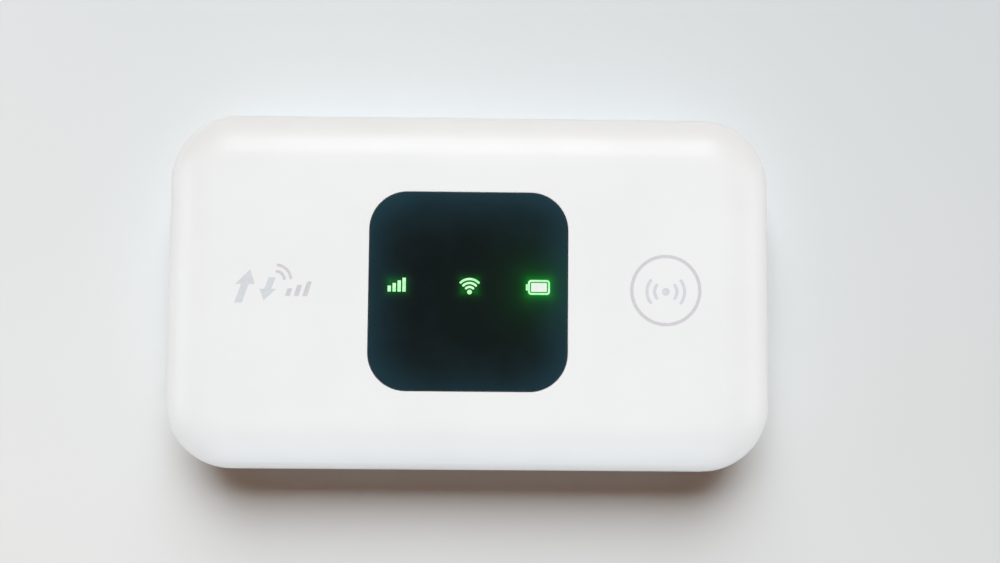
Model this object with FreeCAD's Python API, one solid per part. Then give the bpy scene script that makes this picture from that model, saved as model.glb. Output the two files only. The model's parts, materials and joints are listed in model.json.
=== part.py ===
"""A pocket mobile hotspot with a removable battery, built as separate pieces.

Frame: millimetres, +X along the body's length, +Y towards the long edge with the power button, +Z up
through the screen. The origin is the middle of the underside, which is the face the device rests on.
Every function named after a piece makes that piece, and PARTS at the end lists them by node name.
"""

import math
import os

import FreeCAD
import Part

V = FreeCAD.Vector
OVER = 1.0               # how far a cutting solid runs past the face that it opens
NEAR = 1e-3              # two heights closer than this are the same face
SIDES = (-1, 1)

# ---- driving dimensions -------------------------------------------------------------------------
LENGTH = 97.0
WIDTH = 57.1
HEIGHT = 14.5
CORNER_R = 11.0          # plan radius of the body's corners
SEAM_LOW = 4.4           # back cover below, mid frame above
SEAM_HIGH = 9.4          # mid frame below, top cover above
SEAM_CHAMFER = 0.18      # each edge of a seam is eased by this, which leaves a fine groove

HALF_L = LENGTH / 2
HALF_W = WIDTH / 2
CENTRE_X = HALF_L - CORNER_R     # a corner's centre in plan
CENTRE_Y = HALF_W - CORNER_R

# rolled edges: a wide arc off the flat face, then a tight arc into the side
TURN = math.radians(35)
TOP_ARCS = (12.0, 3.2)
BOTTOM_ARCS = (9.0, 3.0)
TOP_WALL = 1.3
BACK_WALL = 1.1
BAND_WALL = 1.4
FIT_GAP = 0.2            # clearance between a spigot and the shell it enters
CEILING = HEIGHT - TOP_WALL

# display window
WINDOW = 31.1
WINDOW_R = 5.9
WINDOW_GAP = 0.1
LENS_T = 1.0
LENS_EASE = 0.12
TAPE_T = 0.1
LENS_BELOW_FACE = 0.05
LENS_TOP = HEIGHT - LENS_BELOW_FACE
LENS_BOTTOM = LENS_TOP - LENS_T
LEDGE_TOP = LENS_BOTTOM - TAPE_T
LEDGE_T = 1.15
LEDGE_OUT = 2.2          # the ledge's plate reaches this far past the window
LEDGE_R = 6.0
OPENING = 27.0
OPENING_R = 4.2
FILM_T = 0.15
FILM_GAP = 0.15

# indicators: rising bars, radiating waves and a charge cell, in one row
ICON_Y = 0.8
SIGNAL_X = -11.1
SIGNAL_BARS = 4
SIGNAL_BAR_W = 0.5
SIGNAL_PITCH = 0.78
SIGNAL_RISE = 0.42
WAVES_X = 0.2
WAVE_RADII = (1.05, 1.75, 2.45)
WAVE_HALF_T = 0.22
WAVE_DOT_R = 0.35
WAVE_HALF_ANGLE = math.radians(43)
CHARGE_X = 10.9
CHARGE_SHIFT = 0.2       # the cell's middle, off the symbol's, because its nub is on the left
CHARGE_OUTER = (1.55, 1.15)
CHARGE_LINE = 0.3
CHARGE_FILL = (1.05, 0.65)

# circuit board and the heights that follow from it
BOARD_T = 1.0
BOARD_Z = 8.6
BOARD_TOP = BOARD_Z + BOARD_T
BOARD_HALF = (41.75, 25.9)
BOARD_X = 4.0
BOARD_R = 8.2
FLOOR_Z = 6.8            # the ceiling of the battery bay, seen from below
FLOOR_T = 0.8
FLANGE_T = 0.8

# shield cans and the chips under them
CAN_H = 1.9
CAN_WALL = 0.2
CAN_PITCH = 3.0          # between vent holes, and between the notches at a can's foot
CAN_VENT_R = 0.6
MODEM_AT = (-25.6, 7.0)
MODEM_SIZE = (11.0, 11.0, 1.1)
CHIP_EASE = 0.12
COIL_HALF = 1.5
COIL_H = 1.2

# battery and its bay
BATTERY = (56.0, 46.0, 5.0)
BATTERY_X = -14.0
BATTERY_Z = 1.5
BATTERY_R = 1.3
BAY_GAP = 0.4
BAY_SIDE_GAP = 0.3
BAY_WALL = 0.9
BAY_WALL_BOTTOM = 2.2
BAY_CORNER_R = 1.1
END_CAP_T = 3.0
REAR_CAP_T = 1.4
CAP_EASE = 0.3
WRAP_T = 0.12
WRAP_SHY = 0.3           # the sleeve stops this far short of each cap
BATTERY_RIGHT = BATTERY_X + BATTERY[0] / 2
BATTERY_LEFT = BATTERY_X - BATTERY[0] / 2
TERMINALS_Y = (-14.0, -11.0, -8.0)
TERMINAL_Z = 4.0
CONNECTOR_X = BATTERY_RIGHT + 0.6
CONNECTOR_T = 4.2
CONNECTOR_END = 2.3      # the connector block reaches this far past its first and last contact
CONNECTOR_SLOT = 2.4

# card well beside the battery
WELL_X = (BATTERY_RIGHT + BAY_GAP, 36.5)
WELL_Y = (-23.3, 17.6)
CARD = (12.0, 15.0, 0.76)
CARD_X = 26.0
CARD_Y = (1.0, 16.0)
CARD_Z = 7.2
CARD_TOP = CARD_Z + CARD[2]
CARD_OUT = 15.5
CARD_PLATE_T = 0.03      # the card's contact plate is let into its face by this
CARD_CUT = 2.5           # the card's cut corner, along each edge
CONTACT_PITCH = (3.6, 6.0)
SOCKET_Y = (CARD_Y[0] + 1.6, CARD_Y[1] + 1.1)
SOCKET_HALF = CARD[0] / 2 + 0.45
CAGE_HALF = CARD[0] / 2 + 0.65
CAGE_SHEET = 0.15
CAGE_GAP = 0.06

# micro-USB receptacle on the right-hand short side
USB_Y = 0.0
USB_Z = 7.15
USB_SIZE = (5.2, 7.6, 2.6)
USB_FRONT = HALF_L - 1.25
USB_BACK = USB_FRONT - USB_SIZE[0]
USB_SHEET = 0.25
USB_CORNER = 0.8         # the lower corners are cut off by this
USB_PITCH = 0.65
USB_MOUTH = (4.6, 1.75)  # half width and half height of the opening around it
MOUTH_FLARE = 0.3

# power button on the long side at +Y
BUTTON_X = 27.0
BUTTON_Z = 6.9
BUTTON_W = 9.0
BUTTON_H = 2.3
BUTTON_PROUD = 0.35
BUTTON_GAP = 0.12
BUTTON_EASE = 0.25
BUTTON_FACE = HALF_W + BUTTON_PROUD
BUTTON_INSIDE = HALF_W - BAND_WALL
SYMBOL_R = 0.62          # the sign engraved in the key: a broken ring with a bar in its gap
SYMBOL_LINE = 0.17
SYMBOL_DEPTH = 0.1
SWITCH_Y = HALF_W - 4.4
PLUNGER_HALF = (1.4, 0.6)
PLUNGER_OUT = 0.75

# reset switch, reached from the card well once the cover is off
RESET = (21.5, -19.5)
RESET_SIZE = (3.2, 4.2, 1.1)
RESET_STEM_R = 0.8

# housing screws
SCREW_X = 34.0
SCREW_Y = 20.5
SCREW_R = 0.8
SCREW_HEAD_R = 1.4
SCREW_HEAD_T = 0.7
SCREW_LEN = 5.0
SCREW_SEAT = FLOOR_Z + SCREW_HEAD_T
POST_R = 2.2
BOSS_R = 2.1
CROSS_HALF = (0.75, 0.16)
CROSS_DEPTH = 0.4

# back cover
TONGUE_HALF_W = 2.5
TONGUE_T = 0.7
TONGUE_DEPTH = BACK_WALL + FIT_GAP + 1.3
TONGUE_Z = (0.9, SEAM_LOW - 0.3)
COVER_RIB_TOP = 2.6
NOTCH_HALF = 4.5         # half width of the fingernail notch at the left-hand end
ARROW = (-38.0, 3.5, 5.0)        # tip's place, length and width of the arrow engraved beside the notch
ARROW_DEPTH = 0.2

# aerials under the top cover
AERIAL_T = 0.15
AERIAL_Z = CEILING - AERIAL_T
AERIAL_SPINE = 1.4
AERIAL_SLOT = 0.4
CLIP_HALF = 1.0
CLIP_PLACES = ((-36.6, -13.6), (-36.6, 13.6), (35.5, -11.7), (35.5, 11.7), (21.0, -15.6), (28.0, -18.4))


# ---- helpers ------------------------------------------------------------------------------------
def box(x0, x1, y0, y1, z0, z1):
    return Part.makeBox(x1 - x0, y1 - y0, z1 - z0, V(x0, y0, z0))


def block(x, y, half_x, half_y, z0, z1):
    """A box given by its middle in plan."""
    return box(x - half_x, x + half_x, y - half_y, y + half_y, z0, z1)


def cylinder(x, y, z0, z1, r):
    return Part.makeCylinder(r, z1 - z0, V(x, y, z0))


def outline(hx, hy, r, z, cx=0.0, cy=0.0):
    """A rounded rectangle as a closed wire, with true arcs at its corners."""
    arcs = []
    for sx, sy, start in ((1, 1, 0), (-1, 1, 90), (-1, -1, 180), (1, -1, 270)):
        centre = V(cx + sx * (hx - r), cy + sy * (hy - r), z)
        arc = []
        for turn in (0, 45, 90):
            a = math.radians(start + turn)
            arc.append(centre + V(r * math.cos(a), r * math.sin(a), 0))
        arcs.append(arc)
    edges = []
    for arc, following in zip(arcs, arcs[1:] + arcs[:1]):
        edges.append(Part.Arc(*arc).toShape())
        if arc[2].distanceToPoint(following[0]) > NEAR:
            edges.append(Part.makeLine(arc[2], following[0]))
    return Part.Wire(edges)


def prism(hx, hy, r, z0, z1, cx=0.0, cy=0.0):
    """A rounded rectangular plate or block."""
    return Part.Face(outline(hx, hy, r, z0, cx, cy)).extrude(V(0, 0, z1 - z0))


def body_prism(inset, z0, z1):
    """The body's own outline, moved in by inset, between two heights."""
    return prism(HALF_L - inset, HALF_W - inset, CORNER_R - inset, z0, z1)


def polygon(points, direction):
    """A closed polygon of 3-D points, extruded along a vector."""
    wire = Part.makePolygon([V(*p) for p in points] + [V(*points[0])])
    return Part.Face(wire).extrude(V(*direction))


def fuse(first, *others):
    return first.multiFuse(list(others)).removeSplitter()


def edges_where(shape, test):
    """The shape's edges whose bounding box passes test."""
    return [e for e in shape.Edges if test(e.BoundBox)]


def at_height(z):
    return lambda b: abs(b.ZMin - z) < NEAR and abs(b.ZMax - z) < NEAR


def rounded(shape, radius, test):
    """The shape with the chosen edges rounded."""
    return shape.makeFillet(radius, edges_where(shape, test))


def eased(shape, size, test):
    """The shape with the chosen edges chamfered."""
    return shape.makeChamfer(size, edges_where(shape, test))


def edge_section(arcs, inset, z_flat, z_seam, up, chamfer=0.0):
    """One radial section of a rolled-edge shell, from the corner's axis out to the side.

    u runs outwards from the corner's centre. up is +1 for a top shell and -1 for a bottom one.
    """
    wide, tight = (r - inset for r in arcs)
    gap = arcs[0] - arcs[1]
    reach = arcs[0] * math.sin(TURN) + arcs[1] * (1 - math.sin(TURN))

    def at(centre, r, angle):
        return V(centre[0] + r * math.sin(angle), 0, centre[1] + up * r * math.cos(angle))

    first = (CORNER_R - reach, z_flat - up * arcs[0])
    second = (first[0] + gap * math.sin(TURN), first[1] + up * gap * math.cos(TURN))
    corner = V(0, 0, z_flat - up * inset)
    a = at(first, wide, 0)
    b = at(first, wide, TURN)
    c = at(second, tight, math.pi / 2)
    edges = [Part.makeLine(corner, a)]
    edges.append(Part.Arc(a, at(first, wide, TURN / 2), b).toShape())
    edges.append(Part.Arc(b, at(second, tight, (TURN + math.pi / 2) / 2), c).toShape())
    path = [c, V(c.x - chamfer, 0, z_seam), V(0, 0, z_seam), corner]
    if chamfer:
        path.insert(1, V(c.x, 0, z_seam + up * chamfer))
    for start, end in zip(path, path[1:]):
        edges.append(Part.makeLine(start, end))
    return Part.Face(Part.Wire(edges))


def rolled_block(arcs, inset, z_flat, z_seam, up, chamfer=0.0):
    """A solid with the body's outline and a rolled edge on one face."""
    section = edge_section(arcs, inset, z_flat, z_seam, up, chamfer)
    pieces = []
    for sx, sy, start in ((1, 1, 0), (-1, 1, 90), (-1, -1, 180), (1, -1, 270)):
        corner = section.revolve(V(0, 0, 0), V(0, 0, 1), 90)
        corner.rotate(V(0, 0, 0), V(0, 0, 1), start)
        corner.translate(V(sx * CENTRE_X, sy * CENTRE_Y, 0))
        pieces.append(corner)
    for angle, run, reach in ((0, CENTRE_Y, CENTRE_X), (90, CENTRE_X, CENTRE_Y),
                              (180, CENTRE_Y, CENTRE_X), (270, CENTRE_X, CENTRE_Y)):
        side = section.copy()
        side.translate(V(reach, -run, 0))
        side = side.extrude(V(0, 2 * run, 0))
        side.rotate(V(0, 0, 0), V(0, 0, 1), angle)
        pieces.append(side)
    z0, z1 = sorted((z_seam, z_flat - up * inset))
    return fuse(block(0, 0, CENTRE_X, CENTRE_Y, z0, z1), *pieces)


def screw_places():
    return [(sx * SCREW_X, sy * SCREW_Y) for sx in SIDES for sy in SIDES]


def turned_to_x(shape, x, y, z):
    """A shape built along Z, laid along X and moved into place."""
    shape.rotate(V(0, 0, 0), V(0, 1, 0), 90)
    shape.translate(V(x, y, z))
    return shape


def turned_to_y(shape, x, y, z):
    """A shape built along Z, laid along -Y and moved into place."""
    shape.rotate(V(0, 0, 0), V(1, 0, 0), 90)
    shape.translate(V(x, y, z))
    return shape


def key_bar(half_x, half_z, y0, y1):
    """A bar along Y with round ends, at the power button."""
    return turned_to_y(prism(half_x, half_z, half_z - 0.02, 0, y1 - y0), BUTTON_X, y1, BUTTON_Z)


# ---- housing ------------------------------------------------------------------------------------
def lens_ledge():
    """Plate under the window that carries the lens."""
    half = WINDOW / 2 + LEDGE_OUT
    return prism(half, half, LEDGE_R, LEDGE_TOP - LEDGE_T, CEILING + 0.1)


def cover_spigot():
    """Ring inside the top cover that drops into the mid frame."""
    wall, drop, rise = 0.7, 0.7, 0.9
    outer = BAND_WALL + 0.1
    low = body_prism(outer, SEAM_HIGH - drop, SEAM_HIGH)
    high = body_prism(TOP_WALL - 0.2, SEAM_HIGH, SEAM_HIGH + rise)
    return fuse(low, high).cut(body_prism(outer + wall, SEAM_HIGH - OVER, SEAM_HIGH + OVER))


def cover_ribs():
    """Four stiffening ribs, from the lens ledge towards the sides."""
    half_t, foot, start = 0.4, 12.4, WINDOW / 2 + LEDGE_OUT - 0.2
    ribs = []
    for s in SIDES:
        ribs.append(box(-half_t, half_t, *sorted((s * start, s * 22.0)), foot, CEILING + 0.1))
        ribs.append(box(*sorted((s * start, s * 32.0)), -half_t, half_t, foot, CEILING + 0.1))
    return ribs


def top_cover():
    """Upper shell: rolled edge, window recess, screw bosses, spigot and stiffening ribs."""
    shell = rolled_block(TOP_ARCS, 0, HEIGHT, SEAM_HIGH, 1, SEAM_CHAMFER)
    shell = shell.cut(rolled_block(TOP_ARCS, TOP_WALL, HEIGHT, SEAM_HIGH, 1))
    bosses = []
    for x, y in screw_places():
        boss = cylinder(x, y, BOARD_TOP, CEILING + 0.3, BOSS_R)
        bosses.append(boss.cut(cylinder(x, y, BOARD_TOP, CEILING - 0.6, SCREW_R)))
    cover = fuse(shell, lens_ledge(), cover_spigot(), *bosses, *cover_ribs())

    rim = WINDOW / 2 + WINDOW_GAP
    recess = prism(rim, rim, WINDOW_R + WINDOW_GAP, LEDGE_TOP, HEIGHT + OVER)
    opening = prism(OPENING / 2, OPENING / 2, OPENING_R, LEDGE_TOP - LEDGE_T - OVER, HEIGHT)
    cover = cover.cut(fuse(recess, opening))

    def on_rim(b):
        return at_height(HEIGHT)(b) and max(-b.XMin, b.XMax, b.YMax) < rim + 0.01

    return rounded(cover, LENS_EASE, on_rim)


def band_and_skirt():
    """The mid frame's outer band, its inner flange and the skirt that enters the back cover."""
    band = body_prism(0, SEAM_LOW, SEAM_HIGH)
    band = eased(band, SEAM_CHAMFER, lambda b: at_height(SEAM_LOW)(b) or at_height(SEAM_HIGH)(b))
    band = band.cut(body_prism(BAND_WALL, SEAM_LOW - OVER, SEAM_HIGH + OVER))
    flange = body_prism(BAND_WALL - 0.3, SEAM_LOW, SEAM_LOW + FLANGE_T)
    skirt_out, skirt_wall, skirt_drop = BACK_WALL + FIT_GAP + 0.3, 0.8, 1.0
    skirt = body_prism(skirt_out, SEAM_LOW - skirt_drop, SEAM_LOW + 0.1)
    skirt = skirt.cut(body_prism(skirt_out + skirt_wall, 0, SEAM_LOW + OVER))
    return [band, flange, skirt]


def bay_and_well():
    """The battery bay and the card well: their outer blocks, their hollows, and the wall between them."""
    bay = (BATTERY[0] / 2 + BAY_GAP, BATTERY[1] / 2 + BAY_SIDE_GAP)
    well = ((WELL_X[1] - WELL_X[0]) / 2, (WELL_Y[1] - WELL_Y[0]) / 2)
    middle = (sum(WELL_X) / 2, sum(WELL_Y) / 2)
    top = FLOOR_Z + FLOOR_T
    outer_r = BAY_CORNER_R + BAY_WALL
    blocks = [prism(bay[0] + BAY_WALL, bay[1] + BAY_WALL, outer_r, BAY_WALL_BOTTOM, top, BATTERY_X),
              prism(well[0] + BAY_WALL, well[1] + BAY_WALL, outer_r, SEAM_LOW, top, *middle)]
    hollows = [prism(*bay, BAY_CORNER_R, 0, FLOOR_Z, BATTERY_X),
               prism(*well, BAY_CORNER_R, 0, FLOOR_Z, *middle)]
    left = BATTERY_RIGHT + BAY_GAP
    divider = box(left, left + BAY_WALL, -bay[1], bay[1], BAY_WALL_BOTTOM, FLOOR_Z)
    return blocks, hollows, divider


def card_path():
    """The raised roof over the card's way out, and the openings for the card and its socket."""
    half, wall, roof_t = CARD[0] / 2 + 0.8, 0.6, 0.4
    start, end = CARD_Y[0] - CARD_OUT - 1.2, CARD_Y[0] + 1.3
    roof_z = CARD_TOP + 0.12
    roof = box(CARD_X - half - wall, CARD_X + half + wall, start - wall, end - 0.1, FLOOR_Z, roof_z + roof_t)
    path = box(CARD_X - half, CARD_X + half, start, end, FLOOR_Z - OVER, roof_z)
    socket = box(CARD_X - half, CARD_X + half, end - 0.1, CARD_Y[1] + 1.4, FLOOR_Z - OVER, BOARD_Z)
    return roof, fuse(path, socket)


def frame_windows():
    """Openings in the mid frame for the reset switch, the battery connector, the USB shell and the key."""
    reset = block(*RESET, RESET_SIZE[0] / 2 + 0.2, RESET_SIZE[1] / 2 + 0.2, FLOOR_Z - OVER, BOARD_Z)
    end = CONNECTOR_END + 0.3
    connector = box(CONNECTOR_X - 0.5, CONNECTOR_X + CONNECTOR_T + 0.4,
                    TERMINALS_Y[0] - end, TERMINALS_Y[-1] + end, 0, BOARD_Z)
    half = USB_SIZE[1] / 2 + 0.25
    usb = box(HALF_L - 8, HALF_L - 1.2, USB_Y - half, USB_Y + half, USB_Z - USB_SIZE[2] / 2 - 0.2, BOARD_Z)
    key = key_bar(BUTTON_W / 2 + BUTTON_GAP, BUTTON_H / 2 + BUTTON_GAP, HALF_W - 3, HALF_W + OVER)
    return [fuse(reset, connector, usb), usb_mouth(), key]


def usb_mouth():
    """The rounded, flared opening around the USB port, cut through the band's right-hand side."""
    half_y, half_z = USB_MOUTH
    r = half_z - 0.05
    slot = turned_to_x(prism(half_z, half_y, r, -3, OVER), HALF_L, USB_Y, USB_Z)
    wide = outline(half_z + MOUTH_FLARE, half_y + MOUTH_FLARE, r + MOUTH_FLARE, 0.01)
    flare = Part.makeLoft([wide, outline(half_z, half_y, r, -MOUTH_FLARE)], True)
    return fuse(slot, turned_to_x(flare, HALF_L, USB_Y, USB_Z))


def mid_frame():
    """Chassis: outer band, battery bay, card well, screw posts and the side openings."""
    blocks, hollows, divider = bay_and_well()
    posts = [cylinder(x, y, SEAM_LOW, BOARD_Z, POST_R) for x, y in screw_places()]
    frame = fuse(*band_and_skirt(), *blocks, *posts).cut(fuse(*hollows))
    roof, path = card_path()
    frame = fuse(frame, divider, roof).cut(path)
    for window in frame_windows():
        frame = frame.cut(window)
    for x, y in screw_places():
        frame = frame.cut(cylinder(x, y, 0, SCREW_SEAT, SCREW_HEAD_R + 0.2))
        frame = frame.cut(cylinder(x, y, 0, BOARD_Z + OVER, SCREW_R + 0.1))
    pry = box(-HALF_L - OVER, -HALF_L + 0.5, -NOTCH_HALF, NOTCH_HALF, SEAM_LOW - OVER, SEAM_LOW + 0.45)
    return frame.cut(pry)


def snap_tongues():
    """Tongues inside the back cover's rim: three along each long side and two at each end."""
    tongues = []
    for s in SIDES:
        for x in (-22.0, 0.0, 22.0):
            y = sorted((s * (HALF_W - TONGUE_DEPTH), s * (HALF_W - TONGUE_DEPTH - TONGUE_T)))
            tongues.append(box(x - TONGUE_HALF_W, x + TONGUE_HALF_W, *y, *TONGUE_Z))
        for y in (-10.0, 10.0):
            x = sorted((s * (HALF_L - TONGUE_DEPTH), s * (HALF_L - TONGUE_DEPTH - TONGUE_T)))
            tongues.append(box(*x, y - TONGUE_HALF_W, y + TONGUE_HALF_W, *TONGUE_Z))
    return tongues


def back_cover():
    """Battery cover: rolled tray with snap tongues, ribs, a fingernail notch and an arrow towards it."""
    cover = rolled_block(BOTTOM_ARCS, 0, 0, SEAM_LOW, -1, SEAM_CHAMFER)
    cover = cover.cut(rolled_block(BOTTOM_ARCS, BACK_WALL, 0, SEAM_LOW, -1))
    ribs = [box(18.0, 36.0, y - 0.4, y + 0.4, TONGUE_Z[0], COVER_RIB_TOP) for y in (-14.0, 0.0, 14.0)]
    cover = fuse(cover, *snap_tongues(), *ribs)
    notch = box(-HALF_L - OVER, -HALF_L + 0.7, -NOTCH_HALF, NOTCH_HALF, SEAM_LOW - 0.5, SEAM_LOW + OVER)
    tip, length, width = ARROW
    arrow = polygon([(tip, 0, -OVER), (tip + length, width / 2, -OVER), (tip + length, -width / 2, -OVER)],
                    (0, 0, OVER + ARROW_DEPTH))
    return cover.cut(notch).cut(arrow)


def housing_screws():
    """Four self-tapping screws with cross recesses, heads down in the frame's posts."""
    long, short = CROSS_HALF
    tip = SCREW_SEAT + SCREW_LEN
    screws = []
    for x, y in screw_places():
        head = rounded(cylinder(x, y, FLOOR_Z, SCREW_SEAT, SCREW_HEAD_R), 0.2, at_height(FLOOR_Z))
        shank = eased(cylinder(x, y, SCREW_SEAT, tip, SCREW_R), 0.35, at_height(tip))
        cross = fuse(block(x, y, long, short, FLOOR_Z - OVER, FLOOR_Z + CROSS_DEPTH),
                     block(x, y, short, long, FLOOR_Z - OVER, FLOOR_Z + CROSS_DEPTH))
        screws.append(fuse(head, shank).cut(cross))
    return Part.makeCompound(screws)


# ---- display ------------------------------------------------------------------------------------
def display_lens():
    lens = prism(WINDOW / 2, WINDOW / 2, WINDOW_R, LENS_BOTTOM, LENS_TOP)
    return eased(lens, LENS_EASE, at_height(LENS_TOP))


def lens_tape():
    """The adhesive frame that holds the lens on its ledge."""
    half, inner = WINDOW / 2 - 0.1, OPENING / 2 + 0.1
    ring = prism(half, half, WINDOW_R - 0.1, LEDGE_TOP, LENS_BOTTOM)
    return ring.cut(prism(inner, inner, OPENING_R + 0.1, 0, HEIGHT))


def ring_sector(cx, cy, r_in, r_out, half_angle, z0, z1):
    """A band of a ring, centred on +Y."""
    def at(r, a):
        return V(cx + r * math.sin(a), cy + r * math.cos(a), z0)

    outer = Part.Arc(at(r_out, -half_angle), at(r_out, 0), at(r_out, half_angle)).toShape()
    inner = Part.Arc(at(r_in, half_angle), at(r_in, 0), at(r_in, -half_angle)).toShape()
    first = Part.makeLine(at(r_out, half_angle), at(r_in, half_angle))
    last = Part.makeLine(at(r_in, -half_angle), at(r_out, -half_angle))
    return Part.Face(Part.Wire([outer, first, inner, last])).extrude(V(0, 0, z1 - z0))


def signal_cutters(z0, z1):
    """Bars that rise to the right."""
    left, foot, top = SIGNAL_X - 1.45, ICON_Y - 1.1, ICON_Y - 0.1
    bars = []
    for i in range(SIGNAL_BARS):
        x = left + i * SIGNAL_PITCH
        bars.append(box(x, x + SIGNAL_BAR_W, foot, top + i * SIGNAL_RISE, z0, z1))
    return bars


def wave_cutters(z0, z1):
    """A dot with three arcs above it."""
    foot = ICON_Y - 1.15
    arcs = [ring_sector(WAVES_X, foot + 0.2, r - WAVE_HALF_T, r + WAVE_HALF_T, WAVE_HALF_ANGLE, z0, z1)
            for r in WAVE_RADII]
    return [cylinder(WAVES_X, foot + WAVE_DOT_R, z0, z1, WAVE_DOT_R), *arcs]


def charge_cutters(z0, z1):
    """A cell's outline, which a bridge at its foot keeps open, with its fill and its nub."""
    x = CHARGE_X + CHARGE_SHIFT
    hx, hy = CHARGE_OUTER
    shell = prism(hx, hy, 0.4, z0, z1, x, ICON_Y)
    shell = shell.cut(prism(hx - CHARGE_LINE, hy - CHARGE_LINE, 0.15, z0 - OVER, z1 + OVER, x, ICON_Y))
    bridge = block(x, ICON_Y - hy + CHARGE_LINE / 2 - 0.05, 0.3, 0.25, z0 - OVER, z1 + OVER)
    fill = prism(*CHARGE_FILL, 0.1, z0, z1, x, ICON_Y)
    nub = block(x - hx - 0.325, ICON_Y, 0.175, 0.45, z0, z1)
    return [shell.cut(bridge), fill, nub]


def icon_film():
    """Black film behind the lens, clear where the indicators show."""
    half = OPENING / 2 - FILM_GAP
    film = prism(half, half, OPENING_R - FILM_GAP, LENS_BOTTOM - FILM_T, LENS_BOTTOM)
    span = (LENS_BOTTOM - OVER, LENS_BOTTOM + OVER)
    for cutter in signal_cutters(*span) + wave_cutters(*span) + charge_cutters(*span):
        film = film.cut(cutter)
    return film


def light_shield():
    """Opaque block on the board with one light chamber under each indicator."""
    top = LENS_BOTTOM - FILM_T - 0.05
    chamber_y, chamber_r = 2.3, 0.5
    shield = prism(13.1, 3.2, 0.8, BOARD_TOP, top, 0, ICON_Y)
    for x, half in ((SIGNAL_X, 1.85), (WAVES_X, 3.0), (CHARGE_X, 2.1)):
        shield = shield.cut(prism(half, chamber_y, chamber_r, BOARD_TOP - OVER, top + OVER, x, ICON_Y))
    for x in (-5.6, 5.6):
        shield = shield.cut(prism(1.6, chamber_y, chamber_r, BOARD_TOP - OVER, top - 1.0, x, ICON_Y))
    return shield


def indicator_leds():
    """Surface-mounted lamps in the light chambers, each a domed block."""
    foot, top = BOARD_TOP + 0.35, BOARD_TOP + 0.65
    lamps = []
    for x, apart in ((SIGNAL_X, 0.9), (WAVES_X, 1.2), (CHARGE_X, 1.0)):
        for s in SIDES:
            dome = rounded(block(x + s * apart, ICON_Y, 0.4, 0.5, foot, top), 0.15, at_height(top))
            lamps.append(fuse(block(x + s * apart, ICON_Y, 0.4, 0.8, BOARD_TOP, foot), dome))
    return Part.makeCompound(lamps)


# ---- board and its components -------------------------------------------------------------------
def main_board():
    """Circuit board with screw holes, two edge notches, tooling holes and a rebate at its left end."""
    board = prism(*BOARD_HALF, BOARD_R, BOARD_Z, BOARD_TOP, BOARD_X)
    cuts = [cylinder(x, y, 0, HEIGHT, SCREW_R + 0.2) for x, y in screw_places()]
    for s in SIDES:
        cuts.append(prism(3.0, 1.6, 0.8, 0, HEIGHT, BATTERY_X, s * BOARD_HALF[1]))
        cuts.append(cylinder(-20.0, s * 8.0, 0, HEIGHT, 0.5))
        cuts.append(cylinder(40.5, s * 10.0, 0, HEIGHT, 0.5))
    left = BOARD_X - BOARD_HALF[0]
    cuts.append(box(left - OVER, left + 1.5, -9.0, 9.0, 0, HEIGHT))
    return board.cut(fuse(*cuts))


def shield_can(x, y, half_x, half_y, holes):
    """A pressed can over components: thin walls, rounded corners, vent holes and notches."""
    top = BOARD_TOP + CAN_H
    can = rounded(prism(half_x, half_y, 0.8, BOARD_TOP, top, x, y), 0.25, at_height(top))
    can = can.cut(prism(half_x - CAN_WALL, half_y - CAN_WALL, 0.6, BOARD_TOP - OVER, top - CAN_WALL, x, y))
    cuts = []
    for i in range(holes):
        hole_x = x + (i - (holes - 1) / 2) * CAN_PITCH
        for s in SIDES:
            cuts.append(cylinder(hole_x, y + s * (half_y - 2.4), BOARD_TOP + OVER, HEIGHT, CAN_VENT_R))
    for i in range(-2, 3):
        cuts.append(block(x + i * CAN_PITCH, y, 0.5, half_y + OVER, BOARD_TOP, BOARD_TOP + 0.4))
    return can.cut(fuse(*cuts))


def modem_shield():
    return shield_can(MODEM_AT[0], 0.0, 7.6, 15.5, 4)


def rf_shield():
    return shield_can(24.4, 0.0, 7.0, 13.0, 4)


def chip(x, y, size_x, size_y, height):
    """A moulded package on the board, with an eased top edge."""
    top = BOARD_TOP + height
    return eased(block(x, y, size_x / 2, size_y / 2, BOARD_TOP, top), CHIP_EASE, at_height(top))


def modem_chip():
    return chip(*MODEM_AT, *MODEM_SIZE)


def memory_chip():
    return chip(MODEM_AT[0], -6.0, 10.5, 8.0, 0.9)


def power_chip():
    return chip(21.0, 6.5, 5.5, 5.5, 0.85)


def radio_chip():
    return chip(27.4, 5.5, 5.0, 6.0, 0.9)


def amplifier_chips():
    return Part.makeCompound([chip(21.0, -2.0, 3.2, 4.2, 0.8), chip(27.6, -1.6, 3.2, 3.2, 0.8)])


def wifi_chip():
    return chip(24.4, -8.0, 6.0, 5.0, 0.85)


def thermal_pad():
    """Soft pad between the modem chip and its shield."""
    return prism(4.5, 4.5, 0.5, BOARD_TOP + MODEM_SIZE[2], BOARD_TOP + CAN_H - CAN_WALL, *MODEM_AT)


def board_passives():
    """Rows of small capacitors, three coils and four larger capacitors on the open parts of the board."""
    parts = []
    for i in range(6):
        x = -12.0 + i * 4.6
        for y in (-11.5, -9.0, 9.5, 12.0):
            parts.append(box(x, x + 1.0, y, y + 0.5, BOARD_TOP, BOARD_TOP + 0.5))
    for x in (-9.0, -1.0, 7.0):
        coil = prism(COIL_HALF, COIL_HALF, 0.4, BOARD_TOP, BOARD_TOP + COIL_H, x, 18.5)
        parts.append(rounded(coil, 0.2, at_height(BOARD_TOP + COIL_H)))
    for y in (-18.0, -15.5):
        for x in (-6.0, 4.0):
            parts.append(box(x, x + 3.2, y, y + 1.6, BOARD_TOP, BOARD_TOP + COIL_H))
    return Part.makeCompound(parts)


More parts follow.
